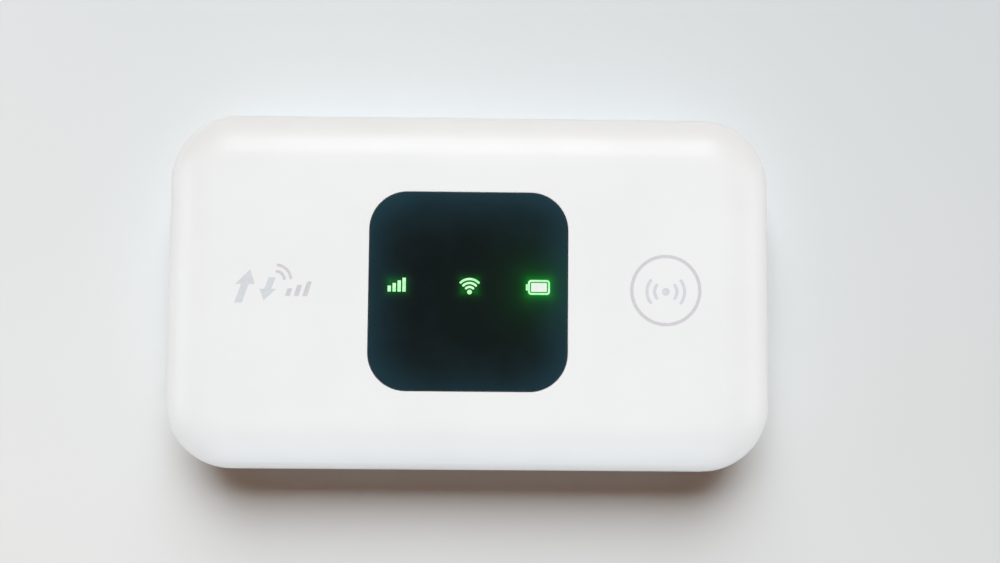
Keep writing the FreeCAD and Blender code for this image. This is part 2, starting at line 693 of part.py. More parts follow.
# ---- USB receptacle -----------------------------------------------------------------------------
def usb_section(margin, x, length):
    """A length of the receptacle's outline along X, moved in by margin, narrowed at its lower corners."""
    hy = USB_SIZE[1] / 2 - margin
    top = USB_Z + USB_SIZE[2] / 2 - margin
    foot = USB_Z - USB_SIZE[2] / 2 + margin
    ring = [(-hy, top), (hy, top), (hy, foot + USB_CORNER), (hy - USB_CORNER, foot),
            (USB_CORNER - hy, foot), (-hy, foot + USB_CORNER)]
    return polygon([(x, USB_Y + y, z) for y, z in ring], (length, 0, 0))


def usb_shell():
    """Drawn steel shell of the receptacle, open at the mouth, with a seat and two board tabs."""
    back_t, half = 0.5, USB_SIZE[1] / 2
    shell = usb_section(0, USB_BACK, USB_SIZE[0])
    shell = shell.cut(usb_section(USB_SHEET, USB_BACK + back_t, USB_SIZE[0] + OVER))
    tabs = []
    for s in SIDES:
        y = sorted((s * (half - USB_SHEET), s * (half + 1.0)))
        tabs.append(box(USB_FRONT - 3.6, USB_FRONT - 2.2, *y, BOARD_Z - USB_SHEET, BOARD_Z))
    seat = box(USB_BACK, USB_FRONT - 1.4, USB_Y - 3.0, USB_Y + 3.0, USB_Z + USB_SIZE[2] / 2 - 0.01, BOARD_Z)
    return fuse(shell, seat, *tabs)


def usb_tongue():
    """Moulded insert with the contact tongue."""
    back, base_t = USB_BACK + 0.5, 0.9
    base = usb_section(USB_SHEET, back, base_t)
    tongue = box(back + base_t, USB_FRONT - 0.6, USB_Y - 1.9, USB_Y + 1.9, USB_Z + 0.05, USB_Z + 0.65)
    return fuse(base, tongue)


def usb_pins():
    """Five contact strips on the underside of the tongue."""
    pins = []
    for i in range(-2, 3):
        y = USB_Y + i * USB_PITCH
        pins.append(box(USB_BACK + 1.4, USB_FRONT - 0.8, y - 0.15, y + 0.15, USB_Z - 0.05, USB_Z + 0.05))
    return Part.makeCompound(pins)


# ---- card socket --------------------------------------------------------------------------------
def contact_places():
    """The rear end of each of the card's six contacts, in plan."""
    return [(CARD_X + i * CONTACT_PITCH[0], SOCKET_Y[0] + 2.0 + j * CONTACT_PITCH[1])
            for i in (-1, 0, 1) for j in (0, 1)]


def sim_socket():
    """Moulded base of the card socket, soldered under the board."""
    x0, x1 = CARD_X - SOCKET_HALF, CARD_X + SOCKET_HALF
    base = box(x0, x1, *SOCKET_Y, CARD_TOP + 0.08, BOARD_Z)
    stop = box(x0, x1, CARD_Y[1] + 0.15, SOCKET_Y[1], CARD_Z - 0.05, BOARD_Z)
    pockets = [box(x - 1.0, x + 1.0, y - 0.6, y + 3.0, CARD_TOP - OVER, CARD_TOP + 0.3)
               for x, y in contact_places()]
    return fuse(base, stop).cut(fuse(*pockets))


def sim_cage():
    """Pressed steel cage that holds the card against the contacts."""
    x0, x1 = CARD_X - CAGE_HALF, CARD_X + CAGE_HALF
    y0, y1 = SOCKET_Y
    floor = CARD_Z - CAGE_GAP
    wall = 0.2
    cage = box(x0, x1, y0, y1, floor - CAGE_SHEET, BOARD_Z)
    cage = cage.cut(box(x0 + wall, x1 - wall, y0 - OVER, y1 + OVER, floor, BOARD_Z + OVER))
    window = box(CARD_X - 3.4, CARD_X + 3.4, y0 + 4.2, y1 - 3.0, 0, CARD_Z)
    thumb = prism(3.0, 2.0, 1.9, 0, CARD_Z, CARD_X, y0)
    return cage.cut(fuse(window, thumb))


def sim_contacts():
    """Six bowed spring fingers between the socket base and the card."""
    half_w, length, crest = 0.4, 2.6, 1.0
    root, thick = CARD_TOP + 0.3, 0.1
    fingers = []
    for x, y in contact_places():
        bow = [(y, root), (y + crest, CARD_TOP + 0.02), (y + length, root),
               (y + length, root - thick), (y + crest, CARD_TOP + 0.01), (y, root - thick)]
        fingers.append(polygon([(x - half_w, py, pz) for py, pz in bow], (2 * half_w, 0, 0)))
    return Part.makeCompound(fingers)


# ---- battery connector and switches -------------------------------------------------------------
def battery_connector():
    """Block at the end of the bay that carries the battery springs."""
    first, last = TERMINALS_Y[0] - CONNECTOR_END, TERMINALS_Y[-1] + CONNECTOR_END
    body = box(CONNECTOR_X, CONNECTOR_X + CONNECTOR_T, first, last, 2.6, BOARD_Z)
    slots = [box(CONNECTOR_X - OVER, CONNECTOR_X + CONNECTOR_SLOT, y - 0.6, y + 0.6,
                 TERMINAL_Z - 1.0, TERMINAL_Z + 1.0) for y in TERMINALS_Y]
    return body.cut(fuse(*slots))


def battery_springs():
    """Three bent contact springs that reach the battery's terminals."""
    half_w, nose, bend, tail = 0.4, 0.5, 0.6, CONNECTOR_SLOT
    outside = [(tail, -0.8), (bend, -0.8), (-nose, -0.1), (-nose, 0.2), (bend, 0.7), (tail, 0.7)]
    inside = [(tail, 0.55), (bend + 0.05, 0.55), (0.15 - nose, 0.12), (0.15 - nose, -0.02),
              (bend + 0.05, -0.65), (tail, -0.65)]
    loop = [(CONNECTOR_X + x, TERMINAL_Z + z) for x, z in outside + inside]
    return Part.makeCompound([polygon([(x, y - half_w, z) for x, z in loop], (0, 2 * half_w, 0))
                              for y in TERMINALS_Y])


def plunger_bar(grow, y0, y1):
    """The switch plunger's own section along Y, made larger by grow."""
    half_x, half_z = PLUNGER_HALF
    return box(BUTTON_X - half_x - grow, BUTTON_X + half_x + grow, y0, y1,
               BUTTON_Z - half_z - grow, BUTTON_Z + half_z + grow)


def power_switch():
    """Side-push switch under the board, behind the power button."""
    half = 2.9
    body = box(BUTTON_X - half, BUTTON_X + half, SWITCH_Y - 3.0, SWITCH_Y, 5.7, BOARD_Z)
    body = body.cut(plunger_bar(0.04, SWITCH_Y - 1.2, SWITCH_Y + OVER))
    feet = [box(BUTTON_X + s * half - 0.5, BUTTON_X + s * half + 0.5, SWITCH_Y - 2.2, SWITCH_Y - 0.8,
                BOARD_Z - 0.3, BOARD_Z) for s in SIDES]
    return fuse(body, *feet)


def power_switch_plunger():
    """The switch's own plunger, which travels with the button."""
    return plunger_bar(0, SWITCH_Y - PLUNGER_OUT, SWITCH_Y + PLUNGER_OUT)


def key_symbol():
    """Cutter for the sign on the key: a ring broken at the top, with a bar in the gap."""
    depth = OVER + SYMBOL_DEPTH
    half_line = SYMBOL_LINE / 2
    ring = ring_sector(0, 0, SYMBOL_R - half_line, SYMBOL_R + half_line, math.radians(142), 0, depth)
    ring.rotate(V(0, 0, 0), V(0, 0, 1), 180)
    bar = box(-half_line, half_line, 0.15, SYMBOL_R + 0.18, 0, depth)
    return turned_to_y(Part.makeCompound([ring, bar]), BUTTON_X, BUTTON_FACE + OVER, BUTTON_Z)


def power_button():
    """Key cap with a crowned, engraved face, a retaining flange and a stem."""
    cap = key_bar(BUTTON_W / 2, BUTTON_H / 2, BUTTON_INSIDE - 0.1, BUTTON_FACE)
    cap = rounded(cap, BUTTON_EASE, lambda b: b.YMin > BUTTON_FACE - NEAR)
    flange = key_bar(BUTTON_W / 2 + 0.9, 1.6, BUTTON_INSIDE - 0.7, BUTTON_INSIDE - 0.05)
    stem = box(BUTTON_X - 1.2, BUTTON_X + 1.2, SWITCH_Y + PLUNGER_OUT, BUTTON_INSIDE - 0.5,
               BUTTON_Z - 0.5, BUTTON_Z + 0.5)
    return fuse(cap, flange, stem).cut(key_symbol())


def reset_switch():
    """Top-push switch under the board, seen through the floor of the card well."""
    size_x, size_y, height = RESET_SIZE
    body = block(*RESET, size_x / 2, size_y / 2, BOARD_Z - height, BOARD_Z)
    body = eased(body, 0.15, at_height(BOARD_Z - height))
    return body.cut(cylinder(*RESET, 0, BOARD_Z - 0.35, RESET_STEM_R + 0.03))


def reset_button():
    """The reset switch's stem, which a pin or a fingernail pushes in."""
    tip = FLOOR_Z + 0.15
    return rounded(cylinder(*RESET, tip, BOARD_Z - 0.65, RESET_STEM_R), 0.15, at_height(tip))


# ---- aerials ------------------------------------------------------------------------------------
def meander(x0, y0, length, width, teeth):
    """A flat aerial under the top cover: a sheet with slots from either edge in turn, running along Y."""
    sheet = box(x0, x0 + width, y0, y0 + length, AERIAL_Z, CEILING)
    x1 = x0 + width
    cuts = []
    for i in range(1, teeth):
        y = y0 + i * length / teeth
        span = (x0 - OVER, x1 - AERIAL_SPINE) if i % 2 else (x0 + AERIAL_SPINE, x1 + OVER)
        cuts.append(box(*span, y - AERIAL_SLOT, y + AERIAL_SLOT, AERIAL_Z - OVER, CEILING + OVER))
    return sheet.cut(fuse(*cuts))


def lte_antenna():
    return meander(-39.8, -17.0, 34.0, 6.2, 10)


def diversity_antenna():
    return meander(33.4, -15.0, 30.0, 5.6, 9)


def wifi_antenna():
    return meander(19.0, -20.0, 6.0, 11.5, 2)


def antenna_clips():
    """Six spring clips that join the board to the aerials above it."""
    w, t, head, foot, top = CLIP_HALF, AERIAL_T, 0.6 * CLIP_HALF, BOARD_TOP, AERIAL_Z
    bend = [(-w, foot), (w, foot), (w, foot + t), (t - w, foot + t), (t - w, foot + 1.2), (head, top - 1.0),
            (head, top), (-head, top), (-head, top - t), (head - t, top - t), (head - t, top - 0.9),
            (-w, foot + 1.3)]
    return Part.makeCompound([polygon([(x + px, y - 0.5, pz) for px, pz in bend], (0, 1.0, 0))
                              for x, y in CLIP_PLACES])


# ---- battery, card and stickers -----------------------------------------------------------------
def battery_block(x0, x1, inset):
    """A length of the battery's rounded section, moved in by inset."""
    bar = prism(BATTERY[2] / 2 - inset, BATTERY[1] / 2 - inset, BATTERY_R - inset, 0, x1 - x0)
    return turned_to_x(bar, x0, 0, BATTERY_Z + BATTERY[2] / 2)


def battery_cell():
    return battery_block(BATTERY_LEFT + REAR_CAP_T, BATTERY_RIGHT - END_CAP_T, WRAP_T)


def battery_wrap():
    """Printed sleeve around the cell."""
    x0, x1 = BATTERY_LEFT + REAR_CAP_T + WRAP_SHY, BATTERY_RIGHT - END_CAP_T - WRAP_SHY
    return battery_block(x0, x1, 0.01).cut(battery_block(x0 - OVER, x1 + OVER, WRAP_T))


def battery_end_cap():
    """Moulded end cap with three terminal windows."""
    cap = battery_block(BATTERY_RIGHT - END_CAP_T, BATTERY_RIGHT, 0)
    cap = rounded(cap, CAP_EASE, lambda b: b.XMin > BATTERY_RIGHT - NEAR)
    windows = [box(BATTERY_RIGHT - 0.6, BATTERY_RIGHT + OVER, y - 0.9, y + 0.9,
                   TERMINAL_Z - 1.2, TERMINAL_Z + 1.2) for y in TERMINALS_Y]
    return cap.cut(fuse(*windows))


def battery_rear_cap():
    cap = battery_block(BATTERY_LEFT, BATTERY_LEFT + REAR_CAP_T, 0)
    return rounded(cap, CAP_EASE, lambda b: b.XMax < BATTERY_LEFT + NEAR)


def battery_terminals():
    """Gold pads at the bottom of the end cap's windows."""
    return Part.makeCompound([box(BATTERY_RIGHT - 0.6, BATTERY_RIGHT - 0.1, y - 0.8, y + 0.8,
                                  TERMINAL_Z - 1.1, TERMINAL_Z + 1.1) for y in TERMINALS_Y])


def sim_card():
    """Micro-size subscriber card with one cut corner and a grip notch."""
    right, top = CARD_X + CARD[0] / 2, CARD_Y[1]
    card = prism(CARD[0] / 2, CARD[1] / 2, 1.0, CARD_Z, CARD_TOP - CARD_PLATE_T, CARD_X, sum(CARD_Y) / 2)
    corner = polygon([(right + OVER, top - CARD_CUT - OVER, 0), (right + OVER, top + OVER, 0),
                      (right - CARD_CUT - OVER, top + OVER, 0)], (0, 0, HEIGHT))
    grip = cylinder(CARD_X, CARD_Y[0] - 0.9, 0, CARD_Z + 0.15, 1.6)
    return card.cut(fuse(corner, grip))


def sim_card_pads():
    """The card's contact plate, split into three strips, on the face towards the board."""
    plate = prism(5.3, 4.6, 0.8, CARD_TOP - CARD_PLATE_T, CARD_TOP, CARD_X, CARD_Y[0] + 8.2)
    cuts = [box(CARD_X + s * 1.9 - 0.1, CARD_X + s * 1.9 + 0.1, 0, CARD_Y[1], CARD_Z, HEIGHT) for s in SIDES]
    return plate.cut(fuse(*cuts))


def bay_sticker():
    """Blank label on the ceiling of the battery bay."""
    return prism(22.0, 15.0, 1.0, FLOOR_Z - 0.1, FLOOR_Z, BATTERY_X, 0)


def cover_foam():
    """Foam strip inside the back cover that keeps the battery from rattling."""
    return prism(14.0, 8.0, 1.0, BACK_WALL, BATTERY_Z - 0.05, BATTERY_X, 0)


PARTS = [
    top_cover, mid_frame, back_cover, housing_screws,
    display_lens, lens_tape, icon_film, light_shield, indicator_leds,
    main_board, modem_shield, rf_shield, modem_chip, memory_chip, power_chip, radio_chip,
    amplifier_chips, wifi_chip, thermal_pad, board_passives,
    usb_shell, usb_tongue, usb_pins, sim_socket, sim_cage, sim_contacts,
    battery_connector, battery_springs, power_switch, power_switch_plunger, power_button,
    reset_switch, reset_button, lte_antenna, diversity_antenna, wifi_antenna, antenna_clips,
    battery_cell, battery_wrap, battery_end_cap, battery_rear_cap, battery_terminals,
    sim_card, sim_card_pads, bay_sticker, cover_foam,
]


def main():
    os.makedirs("parts", exist_ok=True)
    for make in PARTS:
        shape = make()
        solids = shape.Solids
        sound = all(s.isValid() and s.Volume > 0 for s in solids)
        print(f"{make.__name__:22s} solids {len(solids):2d} valid {sound} volume {shape.Volume:9.2f}")
        shape.exportStep(f"parts/{make.__name__}.step")


main()
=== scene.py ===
"""The looks of the pocket mobile hotspot: materials, printed marks, lit indicators, floor, lights and camera.

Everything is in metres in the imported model's own frame: +X along the length, +Y towards the power key,
+Z up through the window. Places come from the CAD nodes' boxes and from the sizes named below.
"""

import json
import math

import bmesh
import bpy
from mathutils import Matrix, Vector


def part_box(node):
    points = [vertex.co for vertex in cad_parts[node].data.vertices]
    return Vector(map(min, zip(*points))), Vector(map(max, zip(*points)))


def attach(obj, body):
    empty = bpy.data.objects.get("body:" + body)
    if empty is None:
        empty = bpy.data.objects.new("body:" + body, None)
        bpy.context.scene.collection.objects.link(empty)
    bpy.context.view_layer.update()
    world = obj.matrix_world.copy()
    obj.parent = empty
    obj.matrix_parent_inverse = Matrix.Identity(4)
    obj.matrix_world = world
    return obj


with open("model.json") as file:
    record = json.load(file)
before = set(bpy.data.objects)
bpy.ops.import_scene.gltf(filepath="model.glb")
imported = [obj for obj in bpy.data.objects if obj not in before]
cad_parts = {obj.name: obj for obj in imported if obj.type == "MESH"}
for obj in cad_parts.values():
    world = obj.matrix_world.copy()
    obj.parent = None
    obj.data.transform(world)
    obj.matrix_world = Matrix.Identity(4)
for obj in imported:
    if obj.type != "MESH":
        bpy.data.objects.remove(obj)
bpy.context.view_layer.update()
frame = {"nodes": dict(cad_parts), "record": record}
NODES = frame["nodes"]

MM = 0.001
INK_T = 0.012 * MM           # thickness of a printed mark
LIT_T = 0.02 * MM            # thickness of a lit symbol
LIT_SUNK = 0.4               # share of a lit symbol's thickness that lies below the lens's face
INK_SUNK = 0.5               # share of a printed mark's thickness that lies below its face
PAINT_SUNK = 0.3             # share of the key's paint that lies below the engraving's floor
FACE_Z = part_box("top_cover")[1].z
LENS_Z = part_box("display_lens")[1].z
WINDOW_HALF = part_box("display_lens")[1].x
LENS_DARKEST_Y = -0.7 * MM

SPIGOT_DROP = 0.7 * MM       # the top cover's spigot hangs this far below its seam
SEAMS = (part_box("back_cover")[1].z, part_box("top_cover")[0].z + SPIGOT_DROP)
SEAM_CORE = 0.04 * MM        # a seam's dust and painted shade are full this near to it
SEAM_REACH = 0.30 * MM       # and has faded out this far from it

# stage
ROOM_R = 3.5                 # radius of the backdrop
FLOOR_Z = -0.04 * MM         # just below the underside, so that the two faces don't coincide
FLOOR_HALF = 0.9             # half the side of the floor's sheet
FLOOR_CLEAR = (0.15, 0.50)   # how far out the floor starts and ends its fade
# the floor is painted darker towards the rear right: painted shade in place of light falling off
FLOOR_SHADE_SPAN = (-0.05, 0.10)  # where along the way below the floor is palest and darkest, as painted shade for light falling off
FLOOR_SHADE_WAY = (0.35, 0.85, 0.0)

LIGHT_ABOVE = (0.14, 0.055, 0.010)
LIGHT_BELOW = (0.36, 0.38, 0.40)

# camera: nearly overhead and close, with turns about X, Y and Z in degrees
CAMERA_AT = (3.84 * MM, -4.41 * MM, 136.6 * MM)
CAMERA_TURNS = (2.80, -0.55, 0.51)
LENS_LENGTH = 28.08          # in millimetres, as the sensor
SENSOR_WIDTH = 36.0

# right mark: a transmitter in a ring
RING_AT = (31.0 * MM, 0.4 * MM)
RING_R = 5.35 * MM
RING_LINE = 0.52 * MM
SENDER_DROP = 0.2 * MM       # the transmitter's middle is this far below the ring's
SENDER_DOT = 0.62 * MM
SENDER_ARCS = (1.75 * MM, 2.95 * MM)
SENDER_LINE = 0.5 * MM
SENDER_SPREAD = 36           # degrees on each side of X

# left mark: slanted arrows up and down, arcs and rising steps
TRAFFIC_AT = (-30.6 * MM, 0.5 * MM)
SLANT = 0.35
UP_ARROW = {"foot": -2.6 * MM, "tip": 2.6 * MM, "width": 3.1 * MM, "head": 2.3 * MM, "stem": 1.2 * MM}
UP_AT = (-4.4 * MM, 0.0)
DOWN_ARROW = {"foot": 1.8 * MM, "tip": -1.8 * MM, "width": 2.6 * MM, "head": 1.8 * MM, "stem": 1.1 * MM}
DOWN_AT = (-0.7 * MM, -0.4 * MM)
CORNER_AT = (0.5 * MM, 1.0 * MM)
CORNER_ARCS = (1.35 * MM, 2.35 * MM)
CORNER_LINE = 0.45 * MM
STEPS_AT = (2.0 * MM, -1.5 * MM)
STEP_W = 0.75 * MM
STEP_PITCH = 1.35 * MM
STEP_FIRST = 1.2 * MM
STEP_RISE = 0.55 * MM
STEP_SLANT = 0.3

# the power key's sign, which is engraved in the key
SIGN_R = 0.62 * MM
SIGN_LINE = 0.15 * MM
SIGN_DEPTH = 0.1 * MM
SIGN_GAP = 38                # degrees on each side of the bar
SIGN_BAR = (0.17 * MM, 0.78 * MM)

# indicators printed in the lens's face
SIGNAL_AT = (-11.15 * MM, 0.8 * MM)
BAR_COUNT = 4
BAR_LEFT = -1.48 * MM
BAR_W = 0.53 * MM
BAR_PITCH = 0.77 * MM
BAR_FOOT = -0.96 * MM
BAR_FIRST = -0.02 * MM
BAR_RISE = 0.415 * MM
WAVES_AT = (0.2 * MM, 0.85 * MM)
WAVES_DROP = 0.97 * MM       # the dot is this far below the symbol's middle
WAVES_DOT = 0.37 * MM
WAVES_ARCS = (0.80 * MM, 1.42 * MM, 2.04 * MM)
WAVES_LINE = 0.36 * MM
WAVES_SPREAD = 44            # degrees on each side of Y
CHARGE_AT = (11.08 * MM, 0.7 * MM)
CELL_HALF = (1.72 * MM, 1.17 * MM)
CELL_LINE = 0.3 * MM
CELL_CAP = (0.32 * MM, 0.5 * MM)
LEVEL_HALF = (1.24 * MM, 0.70 * MM)

# light spread inside the lens: its middle, half size, reach and level
HALOS = (
    (SIGNAL_AT, (1.2 * MM, 0.8 * MM), 0.45 * MM, 0.08),
    (WAVES_AT, (1.2 * MM, 1.1 * MM), 0.4 * MM, 0.08),
    (CHARGE_AT, (1.4 * MM, 0.9 * MM), 0.55 * MM, 0.24),
    (CHARGE_AT, (1.0 * MM, 0.6 * MM), 2.8 * MM, 0.043),
)

# prints inside: the battery's sleeve and the bay's label
BAND_L = 9.0 * MM            # the sleeve's pale band, towards its terminals
POLARITY_IN = 11.5 * MM      # from the sleeve's end to the polarity signs
POLARITY_HALF = 1.5 * MM
POLARITY_LINE = 0.6 * MM
RULE_COUNT = 5


# ---- node graphs --------------------------------------------------------------------------------
class Graph:
    """A material with one Principled shader, and short calls for the nodes that feed it."""

    def __init__(self, name, **settings):
        self.material = bpy.data.materials.new(name)
        self.material.use_nodes = True
        self.tree = self.material.node_tree
        self.tree.nodes.clear()
        self.surface = self.add("OutputMaterial")
        self.shader = self.add("BsdfPrincipled")
        self.join(self.shader.outputs["BSDF"], self.surface.inputs["Surface"])
        self.place = self.add("TexCoord").outputs["Object"]
        for socket, value in settings.items():
            self.shader.inputs[socket.replace("_", " ")].default_value = value

    def add(self, kind, **values):
        node = self.tree.nodes.new("ShaderNode" + kind)
        for key, value in values.items():
            setattr(node, key, value)
        return node

    def join(self, source, target):
        self.tree.links.new(source, target)

    def feed(self, node, *inputs):
        """Sets a node's inputs in order, from sockets or plain values, and returns the node."""
        for socket, value in zip(node.inputs, inputs):
            if isinstance(value, bpy.types.NodeSocket):
                self.join(value, socket)
            elif value is not None:
                socket.default_value = value
        return node

    def math(self, operation, *inputs):
        return self.feed(self.add("Math", operation=operation), *inputs).outputs[0]

    def vector(self, operation, *inputs):
        node = self.add("VectorMath", operation=operation)
        self.feed(node, *inputs)
        return node.outputs["Value" if operation in ("LENGTH", "DOT_PRODUCT") else "Vector"]

    def stretch(self, scale):
        return self.vector("MULTIPLY", self.place, scale)

    def noise(self, scale, detail=2.0, roughness=0.5, place=None):
        node = self.add("TexNoise")
        self.join(place or self.place, node.inputs["Vector"])
        node.inputs["Scale"].default_value = scale
        node.inputs["Detail"].default_value = detail
        node.inputs["Roughness"].default_value = roughness
        return node.outputs["Fac"]

    def ramp(self, value, low, high, low_colour, high_colour):
        """value from low to high turned into a colour from low_colour to high_colour."""
        node = self.add("ValToRGB")
        self.join(value, node.inputs["Fac"])
        first, second = node.color_ramp.elements
        first.position, second.position = low, high
        first.color = (*low_colour, 1.0)
        second.color = (*high_colour, 1.0)
        return node.outputs["Color"]

    def span(self, value, low, high, to_low, to_high):
        node = self.add("MapRange")
        return self.feed(node, value, low, high, to_low, to_high).outputs[0]

    def mix(self, factor, first, second):
        node = self.add("Mix", data_type="RGBA")
        for name, value in (("Factor_Float", factor), ("A_Color", first), ("B_Color", second)):
            socket = next(s for s in node.inputs if s.identifier == name)
            if isinstance(value, bpy.types.NodeSocket):
                self.join(value, socket)
            else:
                socket.default_value = value if name == "Factor_Float" else (*value, 1.0)
        return next(s for s in node.outputs if s.identifier == "Result_Color")

    def colour(self, source):
        self.join(source, self.shader.inputs["Base Color"])

    def gloss(self, source):
        self.join(source, self.shader.inputs["Roughness"])

    def bump(self, height, strength, distance):
        node = self.add("Bump")
        node.inputs["Strength"].default_value = strength
        node.inputs["Distance"].default_value = distance
        self.join(height, node.inputs["Height"])
        self.join(node.outputs["Normal"], self.shader.inputs["Normal"])


def tinted(colour, share):
    return tuple(min(c * share, 1.0) for c in colour)


# ---- materials ----------------------------------------------------------------------------------
def moulded(name, colour, roughness, grain=0.15, coat=0.0, variation=0.02, **settings):
    """Injection-moulded plastic: faint flow mottling, uneven gloss and a fine eroded grain."""
    g = Graph(name, Coat_Weight=coat, Coat_Roughness=0.12, IOR=1.49, **settings)
    flow = g.noise(55.0, 3.0, 0.55)
    g.colour(g.ramp(flow, 0.3, 0.7, tinted(colour, 1 - variation), tinted(colour, 1 + variation)))
    patches = g.noise(140.0, 4.0, 0.6)
    g.gloss(g.span(patches, 0.25, 0.75, roughness - 0.05, roughness + 0.06))
    fine = g.noise(9000.0, 2.0, 0.6)
    g.bump(fine, grain, 0.02 * MM)
    return g.material


def handled(name, roughness, grain=0.15, coat=0.0, share=1.0):
    """White outer moulding: flow mottling, a matt grain, polished patches, and patchy darker, warmer bands
    along its seams that are dust and painted shade in the grooves.
    """
    colour = tinted(SHELL_WHITE, share)
    g = Graph(name, Coat_Weight=coat, Coat_Roughness=0.12, IOR=1.49)
    flow = g.noise(55.0, 3.0, 0.55)
    clean = g.ramp(flow, 0.3, 0.7, tinted(colour, 0.985), tinted(colour, 1.015))
    height = g.feed(g.add("SeparateXYZ"), g.place).outputs["Z"]
    gaps = [g.math("ABSOLUTE", g.math("SUBTRACT", height, seam)) for seam in SEAMS]
    near = g.span(g.math("MINIMUM", *gaps), SEAM_CORE, SEAM_REACH, 1.0, 0.0)
    facing = g.feed(g.add("SeparateXYZ"), g.add("TexCoord").outputs["Normal"]).outputs["Z"]
    upright = g.span(g.math("ABSOLUTE", facing), 0.75, 0.95, 1.0, 0.0)
    patchy = g.span(g.noise(420.0, 4.0, 0.65), 0.35, 0.7, 0.15, 0.7)
    # seam bands: dust and painted shade, darker and warmer near the seams on upright faces, in patches
    seam_dust_and_shade = g.math("MULTIPLY", g.math("MULTIPLY", near, upright), patchy)
    g.colour(g.mix(seam_dust_and_shade, clean, tinted((0.60, 0.575, 0.54), share)))
    worn = g.noise(140.0, 4.0, 0.6)
    polish = g.span(worn, 0.25, 0.75, roughness - 0.06, roughness + 0.06)
    g.gloss(g.math("ADD", polish, g.math("MULTIPLY", seam_dust_and_shade, 0.3)))
    g.bump(g.noise(9000.0, 2.0, 0.6), grain, 0.02 * MM)
    return g.material


def metal(name, colour, roughness, brushing=(400.0, 9000.0, 9000.0)):
    """Rolled or drawn metal with fine lines along X and a little tarnish."""
    g = Graph(name, Metallic=1.0)
    lines = g.noise(1.0, 3.0, 0.6, g.stretch(brushing))
    tarnish = g.noise(260.0, 4.0, 0.6)
    g.colour(g.ramp(tarnish, 0.3, 0.75, tinted(colour, 0.82), colour))
    g.gloss(g.span(lines, 0.2, 0.8, roughness - 0.08, roughness + 0.12))
    g.bump(lines, 0.25, 0.01 * MM)
    return g.material


def plated_contact():
    """Gold flash over nickel, worn in small patches."""
    g = Graph("gold_contact", Metallic=1.0)
    wear = g.noise(1800.0, 4.0, 0.65)
    g.colour(g.ramp(wear, 0.35, 0.7, (0.93, 0.66, 0.24), (0.83, 0.60, 0.30)))
    g.gloss(g.span(wear, 0.2, 0.8, 0.18, 0.34))
    g.bump(wear, 0.15, 0.01 * MM)
    return g.material


def halo(g, at, half, reach):
    """1 at a soft box around an indicator, falling to 0 over reach."""
    away = g.vector("SUBTRACT", g.place, (at[0], at[1], 0.0))
    out = g.vector("SUBTRACT", g.vector("ABSOLUTE", away), (half[0], half[1], 1.0))
    out = g.vector("MAXIMUM", out, (0.0, 0.0, 0.0))
    gap = g.vector("LENGTH", out)
    return g.math("POWER", math.e, g.math("MULTIPLY", gap, -1.0 / reach))


def smoked_lens():
    """Gloss black acrylic, bluer towards its edges, with the indicators' light spread inside it."""
    g = Graph("smoked_lens", Roughness=0.09, IOR=1.49, Specular_IOR_Level=0.35)
    off_middle = g.vector("SUBTRACT", g.place, (0.0, LENS_DARKEST_Y, 0.0))
    share = g.vector("MULTIPLY", off_middle, (1 / WINDOW_HALF, 1 / WINDOW_HALF, 0.0))
    squared = g.vector("MULTIPLY", share, share)
    depth = g.vector("DOT_PRODUCT", squared, squared)
    cloud = g.noise(130.0, 3.0, 0.6)
    edge = g.span(g.math("ADD", depth, g.math("MULTIPLY", cloud, 0.55)), 0.32, 1.60, 0.0, 1.0)
    g.colour(g.mix(edge, (0.0072, 0.0105, 0.0108), (0.0150, 0.041, 0.055)))
    streaks = g.noise(3000.0, 2.0, 0.5)
    g.gloss(g.span(streaks, 0.3, 0.7, 0.075, 0.095))
    scuffs = g.noise(1.0, 2.0, 0.5, g.stretch((700.0, 9000.0, 1.0)))
    g.bump(g.span(scuffs, 0.62, 0.72, 0.0, 1.0), 0.04, 0.004 * MM)
    glow = 0.0
    for at, half, reach, level in HALOS:
        glow = g.math("ADD", glow, g.math("MULTIPLY", halo(g, at, half, reach), level))
    g.join(glow, g.shader.inputs["Emission Strength"])
    g.shader.inputs["Emission Color"].default_value = (0.0, 1.0, 0.03, 1.0)
    return g.material


def lit(name, core, rim, strength):
    """A back-lit print whose light shifts at random between a pale core colour and a greener rim colour."""
    g = Graph(name, Roughness=0.3)
    g.shader.inputs["Base Color"].default_value = (0.05, 0.08, 0.05, 1.0)
    uneven = g.noise(1500.0, 2.0, 0.5)
    shade = g.ramp(uneven, 0.35, 0.65, rim, core)
    g.join(shade, g.shader.inputs["Emission Color"])
    g.shader.inputs["Emission Strength"].default_value = strength
    return g.material


def ink(name, colour):
    """Pad-printed ink with soft, slightly broken coverage."""
    g = Graph(name, IOR=1.45)
    cover = g.noise(2600.0, 3.0, 0.6)
    g.colour(g.ramp(cover, 0.3, 0.75, colour, tinted(colour, 1.12)))
    g.gloss(g.span(cover, 0.3, 0.7, 0.42, 0.6))
    g.bump(cover, 0.1, 0.01 * MM)
    return g.material


def circuit_board():
    """Green solder mask over copper tracks, which show as a faint raised pattern."""
    g = Graph("solder_mask", Coat_Weight=0.4, Coat_Roughness=0.15, IOR=1.5)
    brick = g.add("TexBrick", offset=0.5, squash=0.6)
    g.join(g.place, brick.inputs["Vector"])
    brick.inputs["Scale"].default_value = 420.0
    brick.inputs["Mortar Size"].default_value = 0.06
    tracks = brick.outputs["Fac"]
    mottle = g.noise(300.0, 3.0, 0.6)
    base = g.ramp(mottle, 0.3, 0.7, (0.010, 0.105, 0.045), (0.016, 0.135, 0.060))
    g.colour(g.mix(tracks, base, (0.030, 0.190, 0.085)))
    g.gloss(g.span(mottle, 0.3, 0.7, 0.28, 0.4))
    g.bump(tracks, 0.3, 0.03 * MM)
    return g.material


